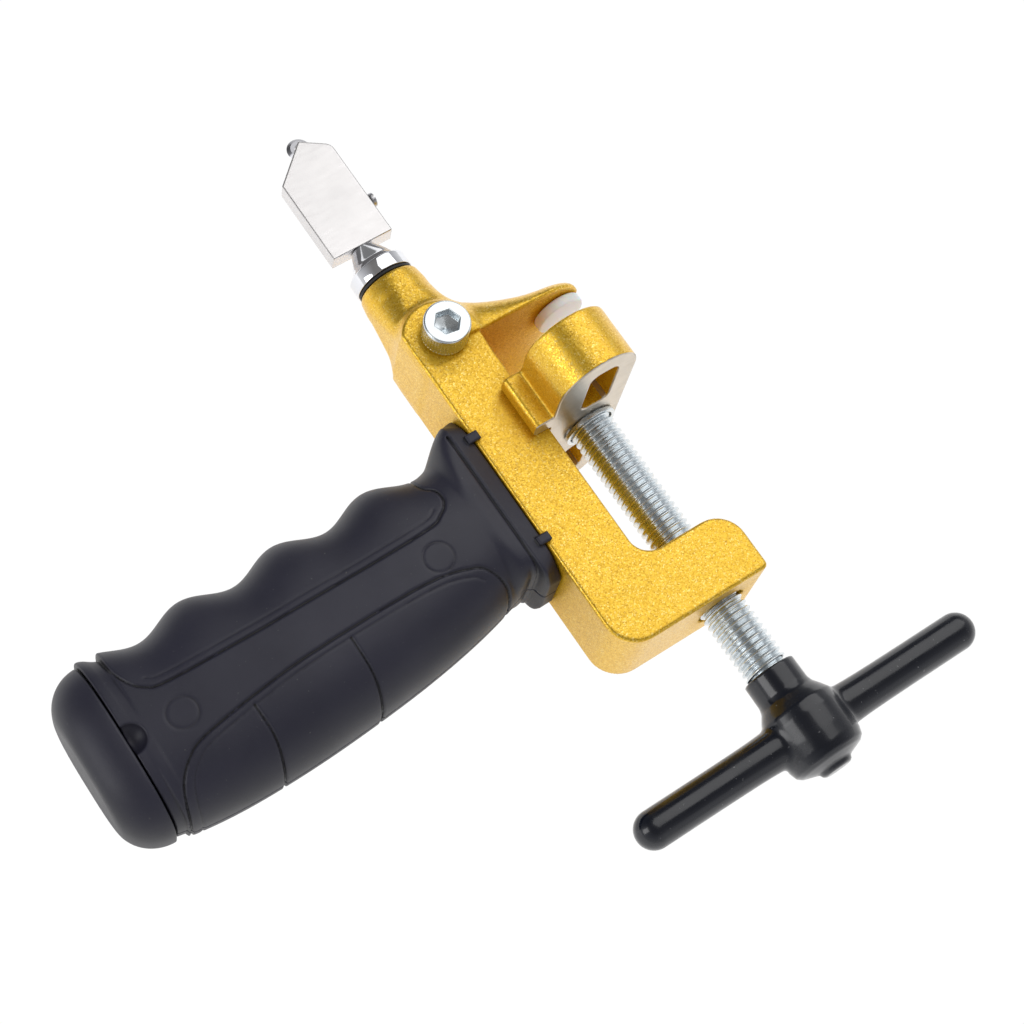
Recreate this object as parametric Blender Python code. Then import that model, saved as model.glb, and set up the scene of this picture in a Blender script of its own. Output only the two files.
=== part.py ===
"""Hand-held glass and tile cutter with a screw-driven breaking clamp.

A cast C-frame carries a pistol grip on its back, a cutter stem in its neck, a
fixed upper arm with a nylon pad, and a jaw that a T-handled screw drives up
and down the spine.

The drawing datum is the clamp screw's axis (x = 0, z = 0) at the underside of
the lower arm (y = 0), in millimetres: +x points away from the grip, +y points
to the cutting wheel, +z is the front face's normal.  The tool lies on its
back, so +z of the drawing is up.
"""

import math

import bmesh
import bpy
from mathutils import Vector

for old in list(bpy.data.objects):
    bpy.data.objects.remove(old, do_unlink=True)

MM = 0.001
# Datum to world: the world origin is below the centre of the whole tool.
DATUM = Vector((42.0, -48.4, 31.0))

GAP = 0.3  # clearance between neighbouring solids

# ---- frame ---------------------------------------------------------------
HALF_T = 10.5  # half thickness of the casting
SPINE_X0, SPINE_X1 = -26.75, -11.87  # grip side and jaw side of the spine
ARM_X1, ARM_Y1 = 9.7, 15.05  # lower arm's end and its top
HEEL_R, TOE_R, NOSE_R, CROTCH_R = 7.0, 1.2, 6.5, 4.5
BOSS_Y, BOSS_R = 77.2, 8.6  # round end of the spine's thick part
STEM_X = -18.9  # axis of the neck and the stem
NECK_Y1, NECK_R1, NECK_R0 = 97.3, 6.9, 7.45
ARM_UNDER_Y = 74.6  # underside of the upper arm
TIP_X = 15.4  # end of the upper arm
STEM_BORE_R, STEM_BORE_Y0 = 4.25, 65.0
TANG_X0, TANG_Y, TANG_H, TANG_T = -66.0, 37.0, 16.0, 9.0  # cast tang in the grip

# ---- clamp ---------------------------------------------------------------
SCREW_R = 4.95  # M10
SCREW_HOLE_R = 5.3
JAW_Y0, JAW_Y1 = 48.3, 60.9
JAW_X0, JAW_X1 = -11.55, 7.65
JAW_HALF = 31.0  # half of the jaw's span
TAB_X0, TAB_Z0, TAB_Z1 = -16.0, 10.85, 15.3
POCKET_X0, POCKET_X1, POCKET_Z0, POCKET_Z1, POCKET_DEPTH = -4.1, 2.9, 9.8, 25.4, 9.0
PAD_X, PAD_R, PAD_Y0 = 9.5, 5.65, 72.0
BAR_Y, BAR_R, BAR_HALF = -30.8, 2.8, 40.9
SLEEVE_HALF = 43.5
HUB_R, HUB_Y0, HUB_Y1 = 6.7, -37.6, -25.6

# ---- cutter --------------------------------------------------------------
HEAD_HALF_T = 2.1
WHEEL_X, WHEEL_Y, WHEEL_R = -17.5, 135.1, 2.7
LOCK_X, LOCK_Y = STEM_X, BOSS_Y
HEAD_SCREW_Y = 116.5

# ---- grip ----------------------------------------------------------------
GRIP_X0 = SPINE_X0 - GAP  # flange face against the spine
SEAM_X = -118.4  # grip shells end, end cap starts
BUTT_X = -127.5
WALL = 2.4
SCREW_1 = (-47.8, 36.0)
SCREW_2 = (-107.0, 35.0)


# ==========================================================================
# helpers
# ==========================================================================
def material(name, rgb, rough, metal=0.0):
    mat = bpy.data.materials.new(name)
    mat.use_nodes = True
    bsdf = mat.node_tree.nodes["Principled BSDF"]
    bsdf.inputs["Base Color"].default_value = (*rgb, 1.0)
    bsdf.inputs["Roughness"].default_value = rough
    bsdf.inputs["Metallic"].default_value = metal
    return mat


def arc(cx, cy, r, a0, a1, n):
    return [
        (
            cx + r * math.cos(math.radians(a0 + (a1 - a0) * i / n)),
            cy + r * math.sin(math.radians(a0 + (a1 - a0) * i / n)),
        )
        for i in range(n + 1)
    ]


def placed(name, bm, origin, mat=None, smooth=35.0, helper=False):
    """Turn a bmesh in datum millimetres into an object whose origin is at `origin`."""
    bmesh.ops.remove_doubles(bm, verts=bm.verts, dist=1e-5)
    bmesh.ops.recalc_face_normals(bm, faces=bm.faces)
    o = Vector(origin)
    for v in bm.verts:
        v.co = (v.co - o) * MM
    mesh = bpy.data.meshes.new(name)
    bm.to_mesh(mesh)
    bm.free()
    mesh.shade_smooth()
    mesh.set_sharp_from_angle(angle=math.radians(smooth))
    obj = bpy.data.objects.new(name, mesh)
    obj.location = (DATUM + o) * MM
    bpy.context.scene.collection.objects.link(obj)
    if mat:
        mesh.materials.append(mat)
    if helper:
        obj.hide_render = True
        obj.display_type = "WIRE"
    return obj


def prism(outline, lo, hi, axis="Z"):
    """Extrude a closed outline between two levels along an axis.

    The outline's pairs are (x, y) for Z and (x, z) for Y.
    """
    bm = bmesh.new()

    def at(p, level):
        return (p[0], p[1], level) if axis == "Z" else (p[0], level, p[1])

    low = [bm.verts.new(at(p, lo)) for p in outline]
    high = [bm.verts.new(at(p, hi)) for p in outline]
    bm.faces.new(low)
    bm.faces.new(high)
    n = len(outline)
    for i in range(n):
        j = (i + 1) % n
        bm.faces.new((low[i], low[j], high[j], high[i]))
    return bm


def turned(profile, centre, axis="Y", n=40, start=0.0):
    """Revolve (radius, station) pairs about an axis through `centre`."""
    bm = bmesh.new()
    rings = []
    for r, s in profile:
        if r < 1e-6:
            rings.append([bm.verts.new(axial(centre, axis, 0, 0, s))])
        else:
            rings.append(
                [
                    bm.verts.new(
                        axial(
                            centre,
                            axis,
                            r * math.cos(start + 2 * math.pi * i / n),
                            r * math.sin(start + 2 * math.pi * i / n),
                            s,
                        )
                    )
                    for i in range(n)
                ]
            )
    for a, b in zip(rings, rings[1:]):
        for i in range(n):
            j = (i + 1) % n
            if len(a) == 1 and len(b) == 1:
                continue
            if len(a) == 1:
                bm.faces.new((a[0], b[j], b[i]))
            elif len(b) == 1:
                bm.faces.new((a[i], a[j], b[0]))
            else:
                bm.faces.new((a[i], a[j], b[j], b[i]))
    for ring in (rings[0], rings[-1]):
        if len(ring) > 1 and profile[0] != profile[-1]:
            bm.faces.new(ring)
    return bm


def axial(centre, axis, u, v, s):
    """A point u, v across and s along the axis; s is absolute in the datum."""
    x, y, z = centre
    if axis == "Y":
        return (x + u, s, z + v)
    if axis == "X":
        return (s, y + u, z + v)
    return (x + u, y + v, s)


def ring_solid(profile, centre, axis="Y", n=40):
    """Revolve a closed profile that stays clear of the axis."""
    return turned([*profile, profile[0]], centre, axis, n)


def loft(rings):
    """Skin equal-length rings, capped at both ends."""
    bm = bmesh.new()
    made = [[bm.verts.new(p) for p in ring] for ring in rings]
    n = len(made[0])
    for a, b in zip(made, made[1:]):
        for i in range(n):
            j = (i + 1) % n
            bm.faces.new((a[i], a[j], b[j], b[i]))
    bm.faces.new(made[0])
    bm.faces.new(made[-1])
    return bm


def boolean(obj, other, operation):
    mod = obj.modifiers.new(f"{operation.lower()} {other.name}", "BOOLEAN")
    mod.operation = operation
    mod.solver = "EXACT"
    mod.object = other
    return mod


def cutter(name, bm):
    return placed("cut_" + name, bm, (0, 0, 0), helper=True)


def smoothstep(t):
    t = min(1.0, max(0.0, t))
    return t * t * (3 - 2 * t)


def table(x, rows):
    """Piecewise smooth interpolation of (x, value) rows."""
    rows = sorted(rows)
    if x <= rows[0][0]:
        return rows[0][1]
    for (x0, v0), (x1, v1) in zip(rows, rows[1:]):
        if x <= x1:
            return v0 + (v1 - v0) * smoothstep((x - x0) / (x1 - x0)) * 0.35 + (
                v1 - v0
            ) * (x - x0) / (x1 - x0) * 0.65
    return rows[-1][1]


GOLD = material("gold glitter paint", (0.80, 0.50, 0.06), 0.38, 0.85)
BLACK = material("black moulded plastic", (0.03, 0.03, 0.04), 0.5)
VINYL = material("black vinyl dip", (0.008, 0.008, 0.009), 0.12)
ZINC = material("zinc plated steel", (0.66, 0.69, 0.72), 0.3, 1.0)
CHROME = material("chrome", (0.75, 0.76, 0.79), 0.08, 1.0)
NICKEL = material("satin nickel", (0.80, 0.78, 0.75), 0.28, 1.0)
CARBIDE = material("carbide", (0.35, 0.35, 0.36), 0.25, 1.0)
NYLON = material("white nylon", (0.88, 0.89, 0.88), 0.4)
RUBBER = material("black rubber", (0.02, 0.02, 0.02), 0.6)
STEEL = material("plain steel", (0.55, 0.55, 0.56), 0.35, 1.0)


# ==========================================================================
# frame: spine, lower arm, boss, neck, upper arm, tang in one casting
# ==========================================================================
def frame_outline():
    half = (SPINE_X1 - SPINE_X0) / 2
    mid = (SPINE_X0 + SPINE_X1) / 2
    lean = math.degrees(math.acos(half / BOSS_R))
    pts = arc(SPINE_X0 + HEEL_R, HEEL_R, HEEL_R, 180, 270, 8)
    pts += arc(ARM_X1 - TOE_R, TOE_R, TOE_R, 270, 360, 3)
    pts += arc(ARM_X1 - NOSE_R, ARM_Y1 - NOSE_R, NOSE_R, 0, 90, 8)
    pts += arc(SPINE_X1 + CROTCH_R, ARM_Y1 + CROTCH_R, CROTCH_R, 270, 180, 6)
    pts += arc(mid, BOSS_Y, BOSS_R, lean, 180 - lean, 10)
    return pts


def neck_rings():
    """The neck: a rounded block at its foot, a circle at its rim."""
    rings = []
    for y, hx, hz, power in (
        (80.0, 7.35, 9.6, 5.0),
        (83.0, 7.35, 9.1, 4.0),
        (86.0, 7.40, 8.5, 3.0),
        (89.0, 7.45, 8.0, 2.5),
        (92.5, 7.40, 7.5, 2.1),
        (96.0, 7.05, 7.05, 2.0),
        (97.0, 6.90, 6.90, 2.0),
        (NECK_Y1, 6.60, 6.60, 2.0),
    ):
        ring = []
        for i in range(32):
            a = 2 * math.pi * i / 32
            c, s = math.cos(a), math.sin(a)
            ring.append(
                (
                    STEM_X - 0.25 * (97 - y) / 17 + hx * math.copysign(abs(c) ** (2 / power), c),
                    y,
                    hz * math.copysign(abs(s) ** (2 / power), s),
                )
            )
        rings.append(ring)
    return rings


def arm_rise(x):
    """Height of the upper arm's crown above its flat underside."""
    return table(
        x,
        [(-16, 13.5), (-11.9, 12.4), (-9, 11.0), (-7, 9.7), (-5, 8.4), (-3, 7.3), (-1, 6.3), (1, 5.4),
         (3, 4.7), (5.4, 4.2), (8, 3.8), (10.3, 3.5), (12.3, 3.2), (15.5, 2.2)],
    )


def arm_half(x):
    """Half width of the upper arm in front of the middle plane."""
    if x > 6.0:
        return 9.4 * math.sqrt(max(0.0, 1 - ((x - 6.0) / (TIP_X - 6.0)) ** 2))
    return table(x, [(-16, 10.3), (-11, 10.3), (0, 9.95), (6.0, 9.4)])


def arm_back_half(x):
    """Reach of the upper arm behind the middle plane, where it spreads into a broad rounded paddle."""
    return table(
        x,
        [(-16, 10.3), (-11, 11.0), (-8.5, 13.6), (-6, 18.2), (-3.5, 23.2), (-1.2, 26.8), (1, 28.6), (3, 29.0),
         (5.5, 27.8), (8, 24.6), (10.5, 19.4), (12.5, 14.0), (14, 8.8), (15, 4.2), (15.5, 1.2)],
    )


def arm_rings():
    rings = []
    stations = [-16, -12.5, -10, -8, -6, -4, -2, 0, 2, 4, 6, 8, 10, 11.8, 13.2, 14.3, 15.0, 15.35]
    for x in stations:
        a, back, h = arm_half(x), arm_back_half(x), arm_rise(x)
        ring = [(x, ARM_UNDER_Y, a), (x, ARM_UNDER_Y, -back)]
        for i in range(1, 12):
            t = math.pi * i / 12
            c, s = math.cos(t), math.sin(t)
            reach = back if c > 0 else a
            ring.append((x, ARM_UNDER_Y + 0.35 + (h - 0.35) * s**0.9, -reach * math.copysign(abs(c) ** 0.8, c)))
        rings.append(ring)
    return rings


frame = placed("frame", prism(frame_outline(), -HALF_T, HALF_T), (STEM_X, BOSS_Y, 0), GOLD)
for name, bm in (
    ("neck", loft(neck_rings())),
    ("upper_arm", loft(arm_rings())),
):
    helper = placed("add_" + name, bm, (0, 0, 0), helper=True)
    boolean(frame, helper, "UNION")
tang = prism(
    [
        (SPINE_X0 + 1, TANG_Y - TANG_H / 2),
        (SPINE_X0 + 1, TANG_Y + TANG_H / 2),
        (TANG_X0 + 2, TANG_Y + TANG_H / 2 - 1),
        (TANG_X0, TANG_Y + TANG_H / 2 - 3),
        (TANG_X0, TANG_Y - TANG_H / 2 + 3),
        (TANG_X0 + 2, TANG_Y - TANG_H / 2 + 1),
    ],
    -TANG_T / 2,
    TANG_T / 2,
)
boolean(frame, placed("add_tang", tang, (0, 0, 0), helper=True), "UNION")
for name, bm in (
    ("stem_bore", turned([(STEM_BORE_R, STEM_BORE_Y0), (STEM_BORE_R, NECK_Y1 + 5)], (STEM_X, 0, 0), "Y", 32)),
    ("screw_hole", turned([(SCREW_HOLE_R, -3), (SCREW_HOLE_R, ARM_Y1 + 3)], (0, 0, 0), "Y", 40)),
    ("lock_hole", turned([(3.25, 0.0), (3.25, HALF_T + 3)], (LOCK_X, LOCK_Y, 0), "Z", 28)),
    ("pad_hole", turned([(1.8, ARM_UNDER_Y - 2), (1.8, 77.2)], (PAD_X, 0, 0), "Y", 20)),
    ("tang_hole", turned([(3.9, -20), (3.9, 20)], (*SCREW_1, 0), "Z", 24)),
):
    boolean(frame, cutter(name, bm), "DIFFERENCE")

# ==========================================================================
# nylon pad under the upper arm
# ==========================================================================
pad_top = ARM_UNDER_Y - GAP
placed(
    "nylon_pad",
    turned(
        [(0, PAD_Y0), (PAD_R - 0.5, PAD_Y0), (PAD_R, PAD_Y0 + 0.5), (PAD_R, pad_top), (1.5, pad_top), (1.5, 76.8), (0, 76.8)],
        (PAD_X, 0, 0),
        "Y",
        36,
    ),
    (PAD_X, PAD_Y0, 0),
    NYLON,
)


# ==========================================================================
# moving jaw, its washer and its clip
# ==========================================================================
def jaw_outline():
    r = (JAW_X1 - JAW_X0) / 2
    cx, cz = (JAW_X0 + JAW_X1) / 2, JAW_HALF - (JAW_X1 - JAW_X0) / 2
    front = arc(cx, cz, r, 0, 180, 16)
    front += [(JAW_X0, TAB_Z1)]
    front += arc(TAB_X0 + 1.3, TAB_Z1 - 1.3, 1.3, 90, 180, 4)
    front += [(TAB_X0, TAB_Z0), (JAW_X0, TAB_Z0)]
    back = [(x, -z) for x, z in reversed(front)]
    return front + back


jaw = placed("moving_jaw", prism(jaw_outline(), JAW_Y0, JAW_Y1, "Y"), (0, JAW_Y0, 0), GOLD)


def slot_outline(x0, x1, z0, z1, r=2.4):
    pts = arc(x1 - r, z0 + r, r, -90, 0, 4) + arc(x1 - r, z1 - r, r, 0, 90, 4)
    pts += arc(x0 + r, z1 - r, r, 90, 180, 4) + arc(x0 + r, z0 + r, r, 180, 270, 4)
    return pts


for side in (1, -1):
    z0, z1 = sorted((side * POCKET_Z0, side * POCKET_Z1))
    pocket = prism(slot_outline(POCKET_X0, POCKET_X1, z0, z1), JAW_Y0 - 2, JAW_Y0 + POCKET_DEPTH, "Y")
    boolean(jaw, cutter("pocket_front" if side > 0 else "pocket_back", pocket), "DIFFERENCE")
boolean(
    jaw,
    cutter(
        "jaw_bore",
        turned(
            [(0, JAW_Y0 - 2), (5.3, JAW_Y0 - 2), (5.3, 52.9), (6.5, 52.9), (6.5, 54.5), (5.3, 54.5), (5.3, 57.2), (0, 57.2)],
            (0, 0, 0),
            "Y",
            36,
        ),
    ),
    "DIFFERENCE",
)
placed(
    "thrust_washer",
    ring_solid([(5.25, 47.1), (6.1, 47.1), (6.1, 48.0), (5.25, 48.0)], (0, 0, 0), "Y", 36),
    (0, 47.1, 0),
    ZINC,
)


def clip_outline():
    outer = arc(0, 0, 6.15, -60, 240, 20)
    inner = arc(0, 0, 3.3, 240, -60, 16)
    return outer + inner


placed("retaining_clip", prism(clip_outline(), 53.25, 54.15, "Y"), (0, 53.25, 0), STEEL)

# ==========================================================================
# clamp screw, hub, cross bar and their vinyl skin
# ==========================================================================
placed(
    "clamp_screw",
    turned(
        [(0, -27.3), (4.2, -27.3), (SCREW_R, -26.5), (SCREW_R, 49.6), (3.9, 50.6), (3.9, 52.9), (2.9, 52.9),
         (2.9, 54.5), (3.9, 54.5), (3.9, 56.2), (3.3, 56.8), (0, 56.8)],
        (0, 0, 0),
        "Y",
        36,
    ),
    (0, 0, 0),
    ZINC,
)
hub = placed(
    "handle_hub",
    turned([(0, HUB_Y0), (HUB_R - 0.8, HUB_Y0), (HUB_R, HUB_Y0 + 0.8), (HUB_R, HUB_Y1), (0, HUB_Y1)], (0, 0, 0), "Y", 32),
    (0, BAR_Y, 0),
    STEEL,
)
boolean(hub, cutter("hub_socket", turned([(SCREW_R + 0.35, BAR_Y), (SCREW_R + 0.35, HUB_Y1 + 2)], (0, 0, 0), "Y", 32)), "DIFFERENCE")
boolean(hub, cutter("hub_cross_hole", turned([(BAR_R + GAP, -12), (BAR_R + GAP, 12)], (0, BAR_Y, 0), "X", 24)), "DIFFERENCE")
placed(
    "t_bar",
    turned(
        [(0, -BAR_HALF), (BAR_R - 0.7, -BAR_HALF), (BAR_R, -BAR_HALF + 0.7), (BAR_R, BAR_HALF - 0.7),
         (BAR_R - 0.7, BAR_HALF), (0, BAR_HALF)],
        (0, BAR_Y, 0),
        "X",
        24,
    ),
    (0, BAR_Y, 0),
    STEEL,
)


def sleeve_bar_profile():
    """Radius of the dipped bar along its length, rounded at both ends."""
    half = []
    for x in (10.0, 13.0, 17.0, 24.0, 33.0, 39.5):
        half.append((4.15 + 0.45 * math.exp(-(x - 9.0) / 5.0), x))
    for i in range(1, 6):
        t = math.pi / 2 * i / 6
        half.append((4.15 * math.cos(t), 39.5 + (SLEEVE_HALF - 39.5) * math.sin(t)))
    half.append((0, SLEEVE_HALF))
    return [(r, -x) for r, x in reversed(half)] + half


sleeve = placed(
    "vinyl_sleeve",
    turned(
        [(0, -41.0), (2.6, -41.0), (3.5, -40.5), (4.2, -39.6), (7.2, -38.7), (8.3, -37.4), (8.8, -35.0), (8.75, -27.5),
         (8.2, -25.6), (7.0, -23.9), (6.2, -22.4), (5.95, -21.4), (5.95, -17.3), (5.7, -16.8), (0, -16.8)],
        (0, 0, 0),
        "Y",
        40,
    ),
    (0, BAR_Y, 0),
    VINYL,
)
boolean(sleeve, placed("add_sleeve_bar", turned(sleeve_bar_profile(), (0, BAR_Y, 0), "X", 28), (0, 0, 0), helper=True), "UNION")
boolean(
    sleeve,
    cutter(
        "sleeve_core",
        turned(
            [(0, HUB_Y0 - GAP), (HUB_R + GAP, HUB_Y0 - GAP), (HUB_R + GAP, HUB_Y1 + GAP), (SCREW_R + 0.3, HUB_Y1 + GAP),
             (SCREW_R + 0.3, -14.0), (0, -14.0)],
            (0, 0, 0),
            "Y",
            32,
        ),
    ),
    "DIFFERENCE",
)
boolean(sleeve, cutter("sleeve_bar_bore", turned([(BAR_R + GAP, -BAR_HALF - GAP), (BAR_R + GAP, BAR_HALF + GAP)], (0, BAR_Y, 0), "X", 24)), "DIFFERENCE")

# ==========================================================================
# cutter stem and its ring
# ==========================================================================
placed(
    "cutter_stem",
    turned(
        [(0, 66.0), (3.3, 66.0), (3.9, 66.6), (3.9, 98.95), (6.6, 98.95), (6.9, 99.3), (6.9, 101.2), (6.6, 101.9),
         (5.7, 102.7), (5.1, 103.4), (2.75, 107.1), (1.25, 107.1), (1.25, 119.4), (0, 119.4)],
        (STEM_X, 0, 0),
        "Y",
        36,
    ),
    (STEM_X, 98.95, 0),
    CHROME,
)
placed(
    "stem_ring",
    ring_solid([(4.25, 97.65), (6.7, 97.65), (6.7, 98.65), (4.25, 98.65)], (STEM_X, 0, 0), "Y", 36),
    (STEM_X, 97.65, 0),
    RUBBER,
)

# ==========================================================================
# cutter head, axle, wheel and side screw
# ==========================================================================
head_pts = [(-26.3, 107.4), (-11.3, 107.4), (-11.3, 130.4), (-12.5, 132.6), (-17.3, 136.0), (-26.3, 128.1)]
head = placed("cutter_head", prism(head_pts, -HEAD_HALF_T, HEAD_HALF_T), (STEM_X, 107.4, 0), NICKEL)
for name, bm in (
    ("wheel_slot", turned([(3.3, -0.95), (3.3, 0.95)], (WHEEL_X, WHEEL_Y, 0), "Z", 36)),
    ("axle_hole", turned([(1.0, -4), (1.0, 4)], (WHEEL_X, WHEEL_Y, 0), "Z", 20)),
    ("tenon_hole", turned([(1.55, 105), (1.55, 119.8)], (STEM_X, 0, 0), "Y", 20)),
    ("side_hole", turned([(1.45, STEM_X), (1.45, -9)], (0, HEAD_SCREW_Y, 0), "X", 20)),
):
    boolean(head, cutter(name, bm), "DIFFERENCE")
placed(
    "wheel_axle",
    turned([(0, -1.9), (0.6, -1.9), (0.7, -1.8), (0.7, 1.8), (0.6, 1.9), (0, 1.9)], (WHEEL_X, WHEEL_Y, 0), "Z", 20),
    (WHEEL_X, WHEEL_Y, 0),
    STEEL,
)
placed(
    "cutter_wheel",
    ring_solid([(1.0, -0.6), (1.9, -0.6), (WHEEL_R, 0.0), (1.9, 0.6), (1.0, 0.6)], (WHEEL_X, WHEEL_Y, 0), "Z", 48),
    (WHEEL_X, WHEEL_Y, 0),
    CARBIDE,
)
placed(
    "head_lock_screw",
    turned([(0, -17.3), (1.15, -17.3), (1.15, -11.0), (1.65, -11.0), (1.65, -10.2), (1.4, -9.85), (0, -9.85)], (0, HEAD_SCREW_Y, 0), "X", 24),
    (-11.0, HEAD_SCREW_Y, 0),
    NICKEL,
)

# ==========================================================================
# socket screw that locks the stem
# ==========================================================================
lock = placed(
    "stem_lock_screw",
    turned(
        [(0, 4.3), (2.4, 4.3), (2.95, 4.9), (2.95, HALF_T + GAP), (5.0, HALF_T + GAP), (5.0, HALF_T + GAP + 5.6),
         (4.7, HALF_T + GAP + 6.0), (0, HALF_T + GAP + 6.0)],
        (LOCK_X, LOCK_Y, 0),
        "Z",
        36,
    ),
    (LOCK_X, LOCK_Y, HALF_T + GAP),
    ZINC,
)
boolean(lock, cutter("hex_socket", turned([(2.9, HALF_T + 3.3), (2.9, HALF_T + 9)], (LOCK_X, LOCK_Y, 0), "Z", 6)), "DIFFERENCE")


# ==========================================================================
# grip: two hollow moulded halves, end cap, two screws
# ==========================================================================
def grip_top(x):
    """Finger side of the grip: waves a finger apart, swept up into the flange."""
    wave = 56.8 - 0.018 * (-51.5 - x) + 1.6 * math.cos(2 * math.pi * (x + 51.3) / 21.75)
    flare = smoothstep((x + 37.5) / 10.3)
    return wave * (1 - flare) + 61.4 * flare


def grip_bottom(x):
    """Palm side of the grip: a long shallow belly, with a lip at the flange."""
    belly = table(x, PALM_LINE)
    lip = smoothstep((x + 33.2) / 3.0)
    return belly * (1 - lip) + 20.9 * lip


PALM_LINE = [(-119, 17.2), (-115, 16.5), (-104, 15.6), (-98, 15.2), (-85, 15.5),
             (-70, 16.8), (-58, 18.1), (-47, 19.9), (-41, 21.3), (-36, 22.8), (-32, 24.1), (-20, 24.1)]


def grip_half(x):
    """Half thickness of the grip."""
    body = 12.5 + 0.5 * math.cos(2 * math.pi * (x + 75) / 110)
    flare = smoothstep((x + 36.0) / 5.0)
    return body * (1 - flare) + 10.4 * flare


GRIP_STATIONS = (
    [GRIP_X0, -28.5, -30.0, -31.5, -33.0, -34.5, -36.0, -38.0]
    + [-38.0 - 2.7 * i for i in range(1, 28)]
    + [-113.4, -114.0, -116.2, SEAM_X]
)


def grip_section(x, side, wall=WALL, n=14):
    """A C-shaped section of one shell: outer skin out and back along the inner skin."""
    t, b, c = grip_top(x), grip_bottom(x), grip_half(x)
    if x < -113.5:
        t = 54.3 + 2.5 * smoothstep((-113.5 - x) / 4.0)
    yc, hy = (t + b) / 2, (t - b) / 2
    power = 2.5
    split = 0.15

    def point(k, shrink):
        a = math.pi * k / n
        ca, sa = math.cos(a), math.sin(a)
        return (
            x,
            yc + (hy - shrink) * math.copysign(abs(ca) ** (2 / power), ca),
            side * (split + (c - split - shrink) * abs(sa) ** (2 / power)),
        )

    outer = [point(k, 0.0) for k in range(n + 1)]
    inner = [point(k, wall) for k in range(n, -1, -1)]
    return outer + inner


def shell(name, side):
    obj = placed(name, loft([grip_section(x, side) for x in GRIP_STATIONS]), (GRIP_X0, 37.0, 0), BLACK)
    # Screw posts, and two hooks that reach over the spine's front or back face.
    for i, (x, y) in enumerate((SCREW_1, SCREW_2)):
        r = 3.5 if i == 0 else 3.6
        z_in = 0.15
        post = turned([(r, side * z_in), (r, side * 11.0)], (x, y, 0), "Z", 24)
        boolean(obj, placed(f"add_{name}_post_{i}", post, (0, 0, 0), helper=True), "UNION")
    for i, y in enumerate((54.6, 28.7)):
        z0, z1 = sorted((side * 8.6, side * 12.1))
        hook = prism([(-29.0, y - 1.4), (-25.5, y - 1.1), (-25.5, y + 1.1), (-29.0, y + 1.4)], z0, z1)
        boolean(obj, placed(f"add_{name}_hook_{i}", hook, (0, 0, 0), helper=True), "UNION")
        relief = sorted((side * 5.0, side * (HALF_T + GAP)))
        clear = prism([(-27.05, y - 4), (-20.0, y - 4), (-20.0, y + 4), (-27.05, y + 4)], *relief)
        boolean(obj, cutter(f"{name}_hook_relief_{i}", clear), "DIFFERENCE")
    return obj


front = shell("grip_shell_front", 1)
back = shell("grip_shell_back", -1)
for i, (x, y) in enumerate((SCREW_1, SCREW_2)):
    pilot = turned([(1.85, -2), (1.85, 8.6)], (x, y, 0), "Z", 20)
    boolean(front, cutter(f"pilot_{i}", pilot), "DIFFERENCE")
    through = turned([(0, 2), (2.0, 2), (2.0, -8.0), (3.05, -8.0), (3.05, -16), (0, -16)], (x, y, 0), "Z", 20)
    boolean(back, cutter(f"through_{i}", through), "DIFFERENCE")
    placed(
        ("grip_screw_upper", "grip_screw_lower")[i],
        turned([(0, 8.0), (1.0, 8.0), (1.5, 7.0), (1.5, -8.3), (2.7, -8.3), (2.7, -9.6), (2.2, -10.2), (0, -10.2)], (x, y, 0), "Z", 20),
        (x, y, 0),
        STEEL,
    )


def cap_rings():
    """The butt cap: a plug that goes up the grip, then the rounded butt."""
    rings = []
    n = 40

    def ring(x, shrink_y, shrink_z, t, b, c):
        yc, hy = (t + b) / 2, (t - b) / 2
        out = []
        for k in range(n):
            a = 2 * math.pi * k / n
            ca, sa = math.cos(a), math.sin(a)
            out.append(
                (
                    x,
                    yc + (hy - shrink_y) * math.copysign(abs(ca) ** 0.8, ca),
                    (c - shrink_z) * math.copysign(abs(sa) ** 0.8, sa),
                )
            )
        return out

    t, b, c = 56.8, grip_bottom(SEAM_X), grip_half(SEAM_X)
    inset = WALL + GAP + 0.1
    plug_t = 53.6
    rings.append(ring(-112.4, inset + 1.2, inset + 0.6, plug_t, b, c))
    rings.append(ring(-113.2, inset + 0.4, inset, plug_t, b, c))
    rings.append(ring(SEAM_X - GAP, inset, inset, plug_t, b, c))
    rings.append(ring(SEAM_X - GAP, 0.25, 0.25, t, b, c))
    rings.append(ring(SEAM_X - GAP - 0.3, 0.0, 0.0, t, b, c))
    x0 = SEAM_X - GAP - 0.3
    depth = x0 - BUTT_X
    for i in range(1, 7):
        a = math.pi / 2 * i / 6
        grow = 1 - math.cos(a)
        rings.append(ring(x0 - depth * math.sin(a), 8.0 * grow, 4.6 * grow, t, b, c))
    return rings


cap = placed("end_cap", loft(cap_rings()), (SEAM_X, 36.0, 0), BLACK)
for side, shell_obj in ((1, front), (-1, back)):
    # A thumbnail notch beside the seam, on each face of the grip.
    notch = turned([(3.2, side * 9.6), (3.2, side * 16)], (-118.0, 35.6, 0), "Z", 24)
    boolean(shell_obj, cutter("notch_front" if side > 0 else "notch_back", notch), "DIFFERENCE")

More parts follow.
